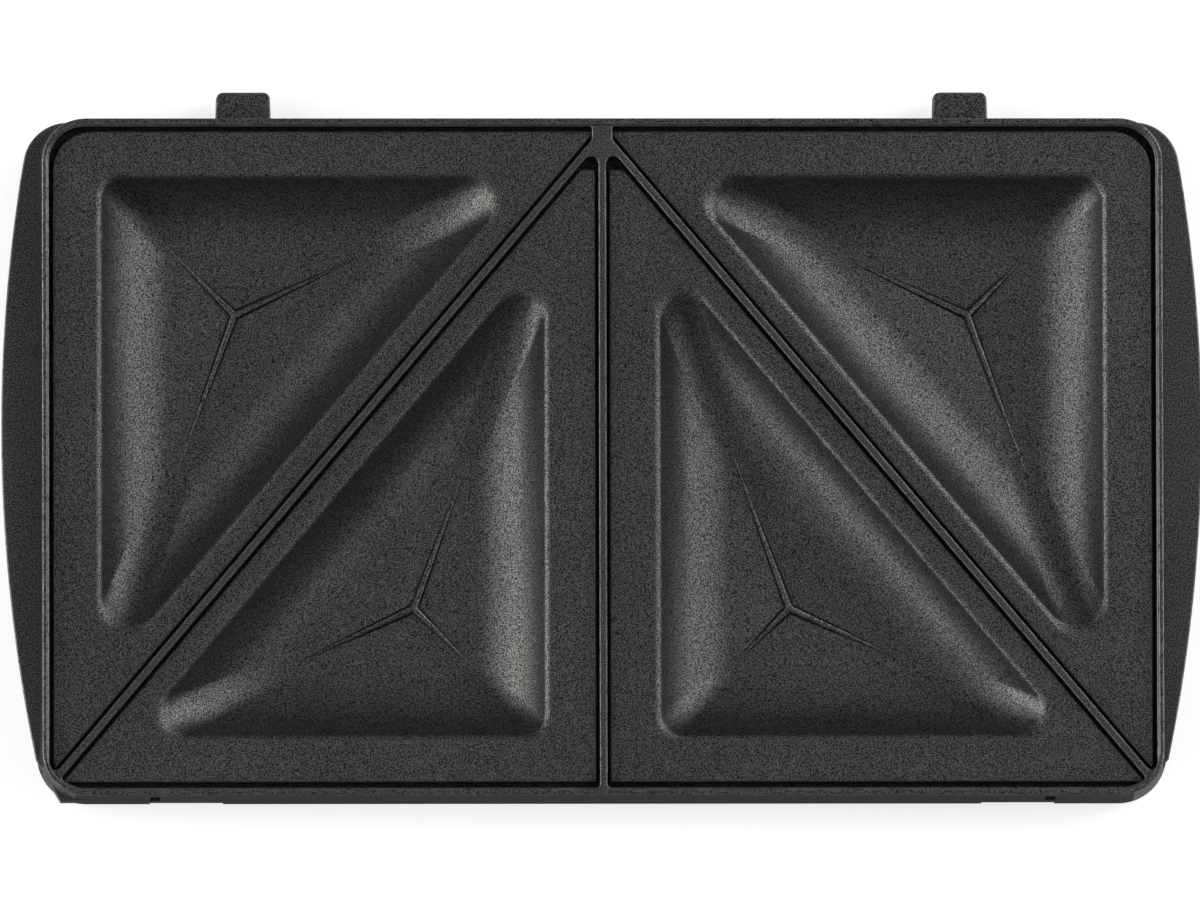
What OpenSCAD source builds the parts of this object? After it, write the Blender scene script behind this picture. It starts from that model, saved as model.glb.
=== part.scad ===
// One removable plate of a sandwich toaster, a single die casting with four triangular pockets.
// The cooking side faces +Z, the rear tabs point along +Y and the latch recesses face -Y.
// The origin is under the middle of the plate's overall outline, on the plane of the heater pads.

/* [Rim] */
// Width over the rim's outer top edge
rim_w = 223.4; // [220:0.2:228]
// Depth over the rim's outer top edge
rim_d = 135.1; // [133:0.1:138]
// Height of the plate from the heater pads to the top of the rim
plate_h = 15; // [14.5:0.25:16.5]
// Width of the rim's top along the left and right
rim_side_t = 1.05; // [1:0.05:1.4]
// Width of the rim's top along the front and rear
rim_end_t = 1.25; // [1.1:0.05:1.5]
// Corner radius of the rim's outer edge
rim_outer_r = 8.4; // [7.6:0.1:8.8]
// Corner radius of the rim's inner edge
rim_inner_r = 7.5; // [7:0.1:8]
// Draft angle of the outer wall
wall_draft = 4; // [2:0.5:6]
// Gap between the lower edge of the wall and the plane of the heater pads
wall_foot = 1; // [0.5:0.25:2]

/* [Ribs] */
// Width of the ribs that part the four cells
rib_w = 1.5; // [1.3:0.1:1.7]
// Drop from the rim's top to the tops of the ribs
rib_drop = 0.7; // [0.5:0.1:1]
// Distance from the rear edge to the point where the two diagonal ribs meet
apex_in = 2.9; // [2.7:0.1:3.2]
// Distance from the side edge to the front end of a diagonal rib
foot_in_x = 3; // [2.8:0.1:3.2]
// Distance from the front edge to the front end of a diagonal rib
foot_in_y = 3.8; // [3.6:0.1:4]
// Half width of the neck that ties the meeting ribs to the rear rim
neck_half = 1.75; // [1.5:0.05:2]

/* [Lands] */
// Drop from the rim's top to the flat lands around the pockets
land_drop = 2.2; // [2:0.1:2.6]
// Depth of the grooves below the lands
groove_deep = 2; // [1.6:0.1:2.2]
// Width of the grooves along the left and right rims
groove_side = 1.05; // [1:0.05:1.3]
// Width of the groove along the rear rim
groove_rear = 1.1; // [1:0.05:1.4]
// Width of the groove along the front rim
groove_front = 1.4; // [1.1:0.05:1.6]
// Width of the grooves along the ribs
groove_rib = 0.55; // [0.5:0.05:0.8]
// Corner radius of a land where it follows the corner of the rim
land_r = 8; // [7:0.5:9]

/* [Pockets] */
// Distance from the side edge of the rim to the outer pockets
outer_side_in = 10.5; // [10:0.1:12]
// Distance from the rear edge of the rim to the outer pockets
outer_rear_in = 10.4; // [10:0.1:12]
// Distance from a diagonal rib's middle to the outer pocket
outer_rib_gap = 4.9; // [4.6:0.1:5.6]
// Distance from the plate's middle to the inner pockets
inner_mid_gap = 10.2; // [9.8:0.1:11.2]
// Distance from the front edge of the rim to the inner pockets
inner_front_in = 10.8; // [10:0.1:12]
// Distance from a diagonal rib's middle to the inner pocket
inner_rib_gap = 5; // [4.7:0.1:5.7]
// Radius of the rounded lip round a pocket
lip_r = 1.8; // [1.5:0.1:2.3]
// Slope of a pocket's wall below the lip, in degrees
wall_slope = 62; // [56:1:66]
// Slope of the three facets of a pocket's floor, in degrees
floor_slope = 5; // [3:0.5:7]
// Distance from a pocket's edge to the foot of its curved wall
cove_in = 15.25; // [14.5:0.25:16]
// Width of the floor ribs at their foot, where the three of them meet
crease_w = 2.5; // [2.2:0.1:2.8]
// Height of the floor ribs where the three of them meet
crease_h = 1; // [0.8:0.1:1.2]

/* [Side flanges] */
// Width over the side flanges at their widest
flange_w = 239.5; // [238:0.5:241]
// Radius of the long curved edge of a flange
flange_arc_r = 324; // [310:2:340]
// Where a flange is widest, measured from the middle of the rim
flange_peak_y = 6.2; // [4:0.1:8]
// Corner radius at the rear end of a flange
flange_rear_r = 9; // [8:0.5:10]
// Thickness of the flanges
flange_t = 2.2; // [1.8:0.1:2.6]
// Drop from the rim's top to the top of a flange
flange_drop = 8; // [7:0.25:9]

/* [Rear tabs] */
// Distance between the middles of the two tabs
tab_pitch = 143; // [140:0.5:146]
// Width of a tab
tab_w = 11.1; // [10:0.1:12]
// Reach of a tab beyond the rim's rear edge
tab_reach = 5.6; // [5:0.1:6]
// Thickness of a tab
tab_t = 3.4; // [3:0.1:4]
// Drop from the rim's top to the top of a tab
tab_drop = 5.5; // [5:0.1:6]
// Corner radius of a tab's free end
tab_r = 1.4; // [1:0.1:1.8]

/* [Latch recesses] */
// Distance between the middles of the two recesses
latch_pitch = 165.8; // [162:0.2:168]
// Width of a recess
latch_w = 14.6; // [13:0.1:16]
// Depth of a recess below the outer wall
latch_deep = 0.45; // [0.4:0.05:0.6]
// Width of the notch that takes the latch's hook
notch_w = 2; // [1.8:0.1:2.4]
// Depth of that notch below the outer wall
notch_deep = 2.4; // [2:0.1:2.6]

/* [Underside] */
// Thickness of the deck under the lands
deck_t = 3.6; // [3.4:0.1:3.8]
// Thickness of the pockets' walls
shell_t = 2.6; // [2.4:0.1:2.7]
// Thickness of the outer wall at the deck
wall_top_t = 2.4; // [2.2:0.1:2.6]
// Thickness of the outer wall at its lower edge
wall_foot_t = 1.8; // [1.6:0.1:2]
// Thickness of the stiffening ribs
web_t = 1.6; // [1.4:0.1:2]
// Diameter of the pads that the casting is pushed out of its die by
pin_pad_d = 6; // [5:0.5:7]

/* [Hidden] */

coating = [0.19, 0.19, 0.2];

arc_steps = 7;            // chords round each corner of an outline
lip_steps = 4;            // chords over the lip of a pocket
cove_steps = 9;           // chords down the wall of a pocket
shell_steps = 6;          // chords down the outside of a pocket
edge_r = 0.3;             // rounding of the small edges
rim_edge_r = 0.35;        // rounding of the rim's outer edge
land_edge_r = 0.4;        // rounding of the lands' edges
bite = 0.06;              // how far a cutter runs past the face it starts from
embed = 0.5;              // how far an added shape sinks into what carries it
root = 0.6;               // how far a web or a tab starts inside the face of the outer wall
point_r = 0.1;            // smallest radius that a shrinking corner keeps

half_w = rim_w / 2;
half_d = rim_d / 2;
rib_z = plate_h - rib_drop;
land_z = plate_h - land_drop;
groove_z = land_z - groove_deep;
deck_z = land_z - deck_t;
flange_z = plate_h - flange_drop;
tab_z = plate_h - tab_drop;
wall_flare = (plate_h - wall_foot) * tan(wall_draft);
front_y = -half_d - wall_flare;
tab_tip_y = half_d + tab_reach;
centre_y = (front_y + tab_tip_y) / 2;

// ---- Plane geometry. Corners run anticlockwise seen from above. ----

function unit(v) = v / norm(v);

// The corner at b, between sides ab and bc, after both sides move inwards by d
function inset_corner(a, b, c, d) =
    let (u = unit(b - a), v = unit(c - b), n = [-u.y, u.x], m = [-v.y, v.x])
    b + d * (n + m) / (1 + n * m);

function inset_corners(p, d) =
    let (n = len(p))
    [for (i = [0:n - 1]) inset_corner(p[(i + n - 1) % n], p[i], p[(i + 1) % n], d)];

// The arc of radius r that rounds the corner at b
function corner_arc(a, b, c, r) =
    let (
        u = unit(b - a),
        v = unit(c - b),
        middle = inset_corner(a, b, c, r),
        from = atan2(-u.x, u.y),
        turn = (atan2(-v.x, v.y) - from + 360) % 360
    )
    [for (i = [0:arc_steps]) let (t = from + turn * i / arc_steps) middle + r * [cos(t), sin(t)]];

function outline(p, radii) =
    let (n = len(p))
    [for (i = [0:n - 1]) each corner_arc(p[(i + n - 1) % n], p[i], p[(i + 1) % n], radii[i])];

function lifted(points, z) = [for (q = points) [q.x, q.y, z]];

// Rounded outline moved inwards by d, at height z. Its radii shrink with d, as a parallel curve's do.
function parallel_ring(p, radii, d, z) =
    lifted(outline(inset_corners(p, d), [for (r = radii) max(r - d, point_r)]), z);

// Rounded outline shrunk towards the inscribed circle's centre until its sides have moved by d
function shrunk_ring(p, radii, d, z) =
    let (keep = 1 - d / inradius(p))
    lifted(outline(inset_corners(p, d), radii * keep), z);

function sides(p) = [for (i = [0:2]) norm(p[(i + 2) % 3] - p[(i + 1) % 3])];

function incentre(p) = let (s = sides(p)) (s[0] * p[0] + s[1] * p[1] + s[2] * p[2]) / (s[0] + s[1] + s[2]);

function inradius(p) =
    let (s = sides(p), u = p[1] - p[0], v = p[2] - p[0])
    abs(u.x * v.y - u.y * v.x) / (s[0] + s[1] + s[2]);

// Where the line from p along u meets the line from q along v
function crossing(p, u, q, v) = p + u * cross(q - p, v) / cross(u, v);

// A point a little beyond q on the line from p through q
function beyond(p, q, d) = q + d * unit(q - p);

// ---- Solids from stacked rings, which run upwards ----

module loft(rings) {
    n = len(rings[0]);
    top = (len(rings) - 1) * n;
    walls = [
        for (k = [0:len(rings) - 2], i = [0:n - 1])
            let (j = (i + 1) % n, low = k * n, high = low + n)
            each [[low + i, high + i, high + j], [low + i, high + j, low + j]]
    ];
    floor_cap = [for (i = [0:n - 1]) i];
    roof_cap = [for (i = [n - 1:-1:0]) top + i];
    polyhedron(points = [for (r = rings) each r], faces = concat([floor_cap], walls, [roof_cap]));
}

// A prism with small rounded top edges: its profile is a list of [inset, height]
module parallel_loft(p, radii, profile) {
    loft([for (s = profile) parallel_ring(p, radii, s[0], s[1])]);
}

function rounded_top(z, r) = [for (t = [0, 45, 90]) [r * (1 - cos(t)), z - r + r * sin(t)]];

function flared_top(z, r) =
    let (p = [for (t = [0, 45, 90]) [-r * (1 - cos(t)), z - r + r * sin(t)]])
    [p[0], p[1], beyond(p[1], p[2], bite)];

module both_sides() {
    children();
    mirror([1, 0, 0]) children();
}

// ---- Layout of the cells. Everything here lies left of the middle; the right side mirrors it. ----

apex = [0, half_d - apex_in];
foot = [foot_in_x - half_w, foot_in_y - half_d];
rib_dir = unit(foot - apex);
rib_out = [rib_dir.y, -rib_dir.x];      // towards the outer cell

// Points on the line that runs beside a diagonal rib, gap away from its middle
function beside_at_x(gap, x) = let (o = apex + gap * rib_out) o + rib_dir * (x - o.x) / rib_dir.x;
function beside_at_y(gap, y) = let (o = apex + gap * rib_out) o + rib_dir * (y - o.y) / rib_dir.y;

ledge = 0.12;                            // keeps a cell's rounded edge clear of the rim's inner wall
cell_side = -half_w + rim_side_t + edge_r + ledge;
cell_rear = half_d - rim_end_t - edge_r - ledge;
land_side = cell_side - edge_r + groove_side;
land_rear = cell_rear + edge_r - groove_rear;
land_front = -cell_rear - edge_r + groove_front;
land_rib = rib_w / 2 + groove_rib;
arch_r = rib_w;                          // round end of a groove, where two ribs meet
sharp_r = 0.45;                          // a corner with no radius of its own
tip_gap = 2.1;                           // from the round end of the inner groove to the land's flat tip

outer_cell = [
    [cell_side, cell_rear],
    beside_at_x(rib_w / 2, cell_side),
    beside_at_x(rib_w / 2, -neck_half),
    [-neck_half, cell_rear]
];
outer_cell_r = [rim_inner_r - edge_r, 1.2, 1.5, sharp_r];

// At the foot of the diagonal rib the inner cell follows the rim's round corner for foot_turn degrees
foot_turn = 34;
foot_r = rim_inner_r - edge_r;
foot_corner = [cell_side + foot_r * (1 - tan(foot_turn / 2)), -cell_rear];
inner_cell = [
    [-rib_w / 2, -cell_rear],
    beside_at_x(-rib_w / 2, -rib_w / 2),
    crossing(foot_corner, [-cos(foot_turn), sin(foot_turn)], apex - rib_w / 2 * rib_out, rib_dir),
    foot_corner
];
inner_cell_r = [0.8, arch_r, sharp_r, foot_r];

outer_land = [
    [land_side, land_rear],
    beside_at_x(land_rib, land_side),
    beside_at_y(land_rib, land_rear)
];
outer_land_r = [land_r, sharp_r, sharp_r];

land_tip_y = beside_at_x(-rib_w / 2, -rib_w / 2).y - 2 * arch_r - tip_gap;
inner_land = [
    [-land_rib, land_front],
    [-land_rib, land_tip_y],
    beside_at_y(-land_rib, land_tip_y),
    beside_at_y(-land_rib, land_front)
];
inner_land_r = [sharp_r, sharp_r, sharp_r, sharp_r];

outer_pocket = [
    [outer_side_in - half_w, half_d - outer_rear_in],
    beside_at_x(outer_rib_gap, outer_side_in - half_w),
    beside_at_y(outer_rib_gap, half_d - outer_rear_in)
];
outer_pocket_r = [4.5, 6, 5.6];

inner_pocket = [
    [-inner_mid_gap, inner_front_in - half_d],
    beside_at_x(-inner_rib_gap, -inner_mid_gap),
    beside_at_y(-inner_rib_gap, inner_front_in - half_d)
];
inner_pocket_r = [4.5, 5.2, 5.2];

// ---- Section of a pocket, as [inset from its edge, height] ----

lip_in = lip_r * sin(wall_slope);
lip_z = land_z - lip_r * (1 - cos(wall_slope));
cove_r = (cove_in - lip_in) / (sin(wall_slope) - sin(floor_slope));
cove_mid = [lip_in + cove_r * sin(wall_slope), lip_z + cove_r * cos(wall_slope)];
cove_foot_z = cove_mid[1] - cove_r * cos(floor_slope);

pit_r = 0.3;                             // radius of the circle that the floor's facets end on
function pit_z(p) = cove_foot_z - (inradius(p) - cove_in) * tan(floor_slope);

function on_cove(r, t) = cove_mid - r * [sin(t), cos(t)];

function pocket_section(p) =
    let (
        pit = [inradius(p) - pit_r, pit_z(p) + pit_r * tan(floor_slope)],
        cove = [
            for (i = [0:cove_steps])
                on_cove(cove_r, floor_slope + (wall_slope - floor_slope) * i / cove_steps)
        ],
        lip = [
            for (i = [lip_steps - 1:-1:0])
                let (t = wall_slope * i / lip_steps)
                [lip_r * sin(t), land_z - lip_r * (1 - cos(t))]
        ],
        last = len(lip) - 1
    )
    concat([pit], cove, [for (i = [0:last - 1]) lip[i]], [beyond(lip[last - 1], lip[last], bite)]);

pad_step = 0.6;                          // from the curved outside of a pocket to the edge of its pad
function shell_section() =
    let (
        outer_r = cove_r + shell_t,
        low = on_cove(outer_r, floor_slope)
    )
    concat(
        [[low[0] + pad_step, 0], low],
        [
            for (i = [1:shell_steps])
                on_cove(outer_r, floor_slope + (wall_slope - floor_slope) * i / shell_steps)
        ]
    );

module pocket_cavity(p, radii) {
    loft([for (s = pocket_section(p)) shrunk_ring(p, radii, s[0], s[1])]);
}

module pocket_shell(p, radii) {
    loft([for (s = shell_section()) shrunk_ring(p, radii, s[0], s[1])]);
}

// The three ribs of a pocket's floor are one star: they run from the deepest point and fade out
// towards the corners. Points 3i and 3i + 1 end rib i, and 3i + 2 is the notch after it.
crease_top = 0.45;                       // width of a rib's top, as a share of its foot
crease_end_w = 0.2;
crease_end_h = 0.05;
crease_sink = 1 + (1 - crease_top) * embed / crease_h;   // share of the foot's width at the star's bottom

function star_ring(middle, ends, share, mid_z, end_z) = [
    for (i = [0:2])
        let (
            along = unit(ends[i] - middle),
            next = unit(ends[(i + 1) % 3] - middle),
            across = crease_end_w / 2 * share * [-along.y, along.x],
            notch = crease_w / 2 * share / sin(acos(along * next) / 2) * unit(along + next)
        )
        each concat(lifted([ends[i] - across, ends[i] + across], end_z), lifted([middle + notch], mid_z))
];

function reversed(list) = [for (i = [len(list) - 1:-1:0]) list[i]];

module crease_ribs(p) {
    middle = incentre(p);
    ends = inset_corners(p, cove_in);
    bottom = star_ring(middle, ends, crease_sink, pit_z(p) - embed, cove_foot_z - embed);
    top = star_ring(middle, ends, crease_top, pit_z(p) + crease_h, cove_foot_z + crease_end_h);
    cap = [
        [2, 5, 8],
        for (i = [0:2])
            let (before = (3 * i + 8) % 9)
            each [[before, 3 * i, 3 * i + 1], [before, 3 * i + 1, 3 * i + 2]]
    ];
    walls = [for (i = [0:8]) let (j = (i + 1) % 9) each [[i, i + 9, j + 9], [i, j + 9, j]]];
    roof = [for (f = cap) [for (k = reversed(f)) k + 9]];
    polyhedron(points = concat(bottom, top), faces = concat(cap, walls, roof));
}

// ---- The casting's main forms ----

rim_corners = [[-half_w, -half_d], [half_w, -half_d], [half_w, half_d], [-half_w, half_d]];

module outer_block() {
    radii = [for (i = [0:3]) rim_outer_r];
    parallel_loft(rim_corners, radii, concat([[-wall_flare, wall_foot]], rounded_top(plate_h, rim_edge_r)));
}

module above_ribs() {
    x = half_w - rim_side_t;
    y = half_d - rim_end_t;
    inner = [[-x, -y], [x, -y], [x, y], [-x, y]];
    radii = [for (i = [0:3]) rim_inner_r];
    parallel_loft(inner, radii, concat([[0, rib_z]], flared_top(plate_h, edge_r)));
}

module below_deck() {
    radii = [for (i = [0:3]) rim_outer_r - wall_top_t];
    inner = inset_corners(rim_corners, wall_top_t);
    spread = wall_top_t + wall_flare - wall_foot_t;
    slope = spread / (deck_z - wall_foot);
    parallel_loft(inner, radii, [[-spread - slope, wall_foot - 1], [0, deck_z]]);
}

module cell(p, radii) {
    parallel_loft(p, radii, concat([[0, groove_z]], flared_top(rib_z, edge_r)));
}

module land(p, radii) {
    parallel_loft(p, radii, concat([[0, groove_z - embed]], rounded_top(land_z, land_edge_r)));
}

module flanges() {
    arc_x = flange_arc_r - flange_w / 2;
    rear_y = half_d - 0.2;
    shoulder = [half_w + 1, 7.5 - half_d];   // where a slanted front end begins
    tuck = [half_w - rim_outer_r, root - half_d];
    left_end = [tuck, [tuck.x + 1, front_y], [half_w - 3.6, front_y]];   // a tip under the corner
    right_end = [tuck, [half_w - 3, 3 - half_d]];                        // runs out in the corner
    translate([0, 0, flange_z - flange_t]) linear_extrude(height = flange_t) intersection() {
        offset(r = flange_rear_r, $fn = 64) offset(delta = -flange_rear_r) intersection() {
            translate([-arc_x, flange_peak_y]) circle(r = flange_arc_r, $fn = 256);
            translate([arc_x, flange_peak_y]) circle(r = flange_arc_r, $fn = 256);
            translate([-flange_w, -flange_w]) square([2 * flange_w, flange_w + rear_y]);
        }
        union() {
            mirror([1, 0]) half_span(concat(left_end, [shoulder]));
            half_span(concat(right_end, [shoulder]));
        }
    }
}

// Everything between the plate's middle and a side, behind the given front end
module half_span(front_end) {
    polygon(concat([[0, root - half_d]], front_end, [[flange_w, 0], [flange_w, rim_d], [0, rim_d]]));
}

tab_taper = 0.2;
tab_edge_r = 0.4;
module rear_tab() {
    inner_y = half_d - 2 * root;
    x0 = -tab_pitch / 2 - tab_w / 2;
    x1 = x0 + tab_w;
    corners = [[x0, inner_y], [x1, inner_y], [x1 - tab_taper, tab_tip_y], [x0 + tab_taper, tab_tip_y]];
    radii = [sharp_r, sharp_r, tab_r, tab_r];
    low = tab_z - tab_t;
    underside = [[tab_edge_r, low], [0, low + tab_edge_r]];
    parallel_loft(corners, radii, concat(underside, rounded_top(tab_z, tab_edge_r)));
}

// In the wall's own frame: x runs along the wall, y into it and z up to the rim's edge
module on_front_wall() {
    translate([0, -half_d, plate_h]) rotate([-wall_draft, 0, 0]) children();
}

latch_top = 1.5;                         // from the rim's top to the top of a recess
over = 1;                                // how far the recess's cutters start outside the wall
notch_h = 6;
notch_top = plate_h - groove_z + 0.6;    // leaves metal between the notch and the groove above it
module latch_recess() {
    x0 = -latch_pitch / 2 - latch_w / 2;
    on_front_wall() {
        translate([x0, -over, -plate_h - over])
            cube([latch_w, over + latch_deep, plate_h + over - latch_top]);
        translate([x0, -over, -notch_top - notch_h]) cube([notch_w, over + notch_deep, notch_h]);
    }
}

// Closes the notch on the inside of the wall
module latch_boss() {
    wall = 1.4;
    x0 = -latch_pitch / 2 - latch_w / 2 - wall;
    z0 = plate_h - notch_top - notch_h - wall;
    translate([x0, embed - half_d, z0]) cube([notch_w + 2 * wall, notch_deep + wall, deck_z + embed - z0]);
}

// ---- Underside ----

web_z = 5;                               // lower edge of the stiffening ribs
web_h = deck_z + embed - web_z;
module spine() {
    translate([-web_t / 2, root - half_d, web_z]) cube([web_t, rim_d - 2 * root, web_h]);
}

gusset_x = [-82, -50, -27];
gusset_y = [-22, 14, 44];
gusset_in = 4;                           // how far a gusset runs under the pocket it props
module gussets() {
    for (x = gusset_x) {
        translate([x, half_d - outer_rear_in - gusset_in, web_z])
            cube([web_t, outer_rear_in + gusset_in - root, web_h]);
        translate([x, root - half_d, web_z]) cube([web_t, inner_front_in + gusset_in - root, web_h]);
    }
    for (y = gusset_y)
        translate([root - half_w, y, web_z]) cube([outer_side_in + gusset_in - root, web_t, web_h]);
}

pin_spots = [[-105.5, 60.5], [-40, 61], [-98, -52], [-5, 20], [-5, -50]];
pin_pad_h = 0.8;
module pin_pads() {
    for (s = pin_spots)
        translate([s.x, s.y, deck_z - pin_pad_h]) cylinder(d = pin_pad_d, h = pin_pad_h + embed, $fn = 48);
}

module casting() {
    difference() {
        union() {
            difference() {
                union() {
                    outer_block();
                    flanges();
                    both_sides() rear_tab();
                }
                above_ribs();
                below_deck();
                both_sides() {
                    cell(outer_cell, outer_cell_r);
                    cell(inner_cell, inner_cell_r);
                }
            }
            both_sides() {
                land(outer_land, outer_land_r);
                land(inner_land, inner_land_r);
                pocket_shell(outer_pocket, outer_pocket_r);
                pocket_shell(inner_pocket, inner_pocket_r);
                latch_boss();
                gussets();
                pin_pads();
            }
            spine();
        }
        both_sides() {
            pocket_cavity(outer_pocket, outer_pocket_r);
            pocket_cavity(inner_pocket, inner_pocket_r);
            latch_recess();
        }
    }
    both_sides() {
        crease_ribs(outer_pocket);
        crease_ribs(inner_pocket);
    }
}

module sandwich_plate() {
    color(coating) translate([0, -centre_y, 0]) casting();
}

sandwich_plate();
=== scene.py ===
import bpy
import bmesh
from math import acos, cos, degrees, pi, radians, sin, tan
from mathutils import Matrix, Vector


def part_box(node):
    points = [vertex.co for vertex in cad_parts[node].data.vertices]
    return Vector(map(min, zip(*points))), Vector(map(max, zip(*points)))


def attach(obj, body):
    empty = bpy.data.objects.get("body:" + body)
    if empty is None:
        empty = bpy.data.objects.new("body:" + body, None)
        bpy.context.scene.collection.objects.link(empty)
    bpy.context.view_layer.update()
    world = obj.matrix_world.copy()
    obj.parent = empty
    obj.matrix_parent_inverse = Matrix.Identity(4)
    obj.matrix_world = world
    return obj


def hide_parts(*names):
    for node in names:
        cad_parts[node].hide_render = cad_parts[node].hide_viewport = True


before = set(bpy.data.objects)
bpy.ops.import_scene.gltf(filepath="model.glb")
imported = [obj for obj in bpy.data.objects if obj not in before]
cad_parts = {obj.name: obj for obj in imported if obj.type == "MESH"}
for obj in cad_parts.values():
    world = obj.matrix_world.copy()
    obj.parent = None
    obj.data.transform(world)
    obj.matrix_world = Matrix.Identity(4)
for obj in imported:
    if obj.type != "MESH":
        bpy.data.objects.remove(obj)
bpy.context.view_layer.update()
print('frame loaded:', ', '.join(sorted(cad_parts)))

millimetre = 0.001          # the casting is modelled in millimetres and ends in metres
plateBox = [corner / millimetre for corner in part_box('sandwich_plate')]

rim = {
    'width': 223.4,         # over the outer top edge
    'depth': 135.1,
    'sideTop': 1.05,        # width of its top along the left and right
    'endTop': 1.25,         # the same along the front and rear
    'outerRadius': 8.7,
    'innerRadius': 7.5,
    'cornerSteps': 20,
    'outerEdge': 0.35,      # rounding of the outer top edge
    'wallDraft': 4.0,       # degrees
    'footHeight': 1.0,      # lower edge of the wall over the heater pads
    'footEdge': 0.3,
    'footWidth': 1.8,
    'wallAtDeck': 2.4,
}
ribs = {
    'width': 1.5,
    'drop': 0.7,            # from the rim's top
    'apexIn': 2.9,
    'footInX': 3.0,
    'footInY': 3.8,
    'neckHalf': 2.05,
    'archRadius': 1.5,
    'tipRadius': 1.2,       # of the outer cell's front end
    'neckRadius': 1.5,
    'middleFootRadius': 0.8,
    'footTurn': 34,         # degrees that the inner cell follows the rim's corner for
}
lands = {
    'drop': 2.2,
    'grooveDepth': 2.0,
    'grooveSide': 1.05,
    'grooveRear': 1.1,
    'grooveFront': 1.4,
    'grooveRib': 0.55,
    'landEdge': 0.4,
    'cornerRadius': 8.0,
    'edge': 0.3,            # rounding of every small edge
    'sharp': 0.45,          # a corner with no radius of its own
    'ledge': 0.03,
    'tipGap': 2.1,
}
pockets = {
    'outerSideIn': 10.5,
    'outerRearIn': 10.4,
    'outerRibGap': 4.9,
    'outerRadii': [4.5, 6.0, 5.6],
    'innerMiddleGap': 10.2,
    'innerFrontIn': 10.8,
    'innerRibGap': 5.0,
    'innerRadii': [4.5, 5.2, 5.2],
    'lipRadius': 1.8,
    'wallSlope': 62,        # degrees
    'floorSlope': 5,
    'coveIn': 15.25,
    'pitRadius': 0.3,
    'lipSteps': 8,
    'coveSteps': 26,
    'floorSteps': 5,
    'creaseWidth': 2.3,
    'creaseHeight': 0.95,
    'creaseEnd': 0.4,
    'creaseEndHeight': 0.08,
    'creaseShape': [(0.46, 0.8), (0.14, 1.0)],      # shares of its width and height, up to its top
}
underside = {
    'deckThickness': 3.6,
    'shellThickness': 2.6,
    'fillet': 1.5,
    'filletSteps': 6,
    'shellSteps': 14,
    'wallFillet': 1.0,
    'padStep': 0.6,
    'padEdge': [(0.5, 1.0), (0.6, 0.3), (0.8, 0)],     # shares of that step and of its rounding
    'webWidth': 1.6,
    'webHeight': 5.0,       # lower edge of the stiffening ribs
    'gussetX': [-82, -50, -27],
    'gussetY': [-22, 14, 44],
    'pinSpots': [(-105.5, 60.5), (-40, 61), (-98, -52), (-5, 20), (-5, -50)],
    'pinDiameter': 6.0,
    'pinDrop': 0.8,
}

plateTop = plateBox[1].z
halfWidth = rim['width'] / 2
halfDepth = rim['depth'] / 2
ribTop = plateTop - ribs['drop']
landTop = plateTop - lands['drop']
grooveFloor = landTop - lands['grooveDepth']
deck = landTop - underside['deckThickness']
tabReach = 5.6              # of the rear tabs past the rim
rimCentreY = plateBox[1].y - halfDepth - tabReach    # the rim's middle in the shared frame
samePlace = 0.0001          # millimetres within which two points are one
sameLevel = 0.001
sharpTurn = 1.2             # radians from which an edge of a raised solid is rounded
smoothAngle = 28            # degrees up to which faces are shaded as one


def clearSelection():
    bpy.ops.object.select_all(action='DESELECT')


def editedMesh():
    return bmesh.from_edit_mesh(bpy.context.object.data)


def pick(kind, test):
    bpy.ops.mesh.select_mode(type=kind)
    bpy.ops.mesh.select_all(action='DESELECT')
    mesh = editedMesh()
    items = {'VERT': mesh.verts, 'EDGE': mesh.edges, 'FACE': mesh.faces}[kind]
    for item in items:
        if test(item):
            item.select_set(True)
    mesh.select_flush_mode()
    bmesh.update_edit_mesh(bpy.context.object.data)


def pickLastFace():
    bpy.ops.mesh.select_mode(type='FACE')
    bpy.ops.mesh.select_all(action='DESELECT')
    mesh = editedMesh()
    list(mesh.faces)[-1].select_set(True)
    bmesh.update_edit_mesh(bpy.context.object.data)


def endEditing(name=None):
    bpy.ops.object.mode_set(mode='OBJECT')
    piece = bpy.context.object
    if name:
        piece.name = name
    clearSelection()
    return piece


# Corners run anticlockwise seen from above.
def movedSides(corners, inwards):
    moved = []
    for i, corner in enumerate(corners):
        before = (Vector(corner) - Vector(corners[i - 1])).normalized()
        after = (Vector(corners[(i + 1) % len(corners)]) - Vector(corner)).normalized()
        n = Vector((-before.y, before.x))
        m = Vector((-after.y, after.x))
        moved.append(Vector(corner) + inwards * (n + m) / (1 + n.dot(m)))
    return moved


def addOutline(corners, radii, height, segments=14, faceDown=False):
    if bpy.context.mode == 'EDIT_MESH':
        bpy.ops.mesh.select_all(action='DESELECT')
    bpy.ops.mesh.primitive_circle_add(vertices=len(corners), radius=1, fill_type='NGON')
    if bpy.context.mode != 'EDIT_MESH':
        bpy.ops.object.mode_set(mode='EDIT')
    fresh = [v for v in editedMesh().verts if v.select]
    for vertex, corner in zip(fresh, corners):
        vertex.co = (corner[0], corner[1], height)
    bmesh.update_edit_mesh(bpy.context.object.data)
    for i, radius in enumerate(radii):
        if radius == 0:
            continue
        place = Vector((corners[i][0], corners[i][1]))
        before = Vector(corners[i - 1]) - place
        after = Vector(corners[(i + 1) % len(corners)]) - place
        half = before.angle(after) / 2
        flatness = 1 / (2 + 2 * sin(half))          # puts the bevel's middle on a true arc
        pick('VERT', lambda v: abs(v.co.z - height) < samePlace
             and (v.co.xy - place).length < samePlace)
        bpy.ops.mesh.bevel(affect='VERTICES', offset_type='OFFSET', offset=radius / tan(half),
                           segments=segments, profile=(1 - flatness) ** 2)
    pickLastFace()
    if faceDown:
        bpy.ops.mesh.flip_normals()


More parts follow.
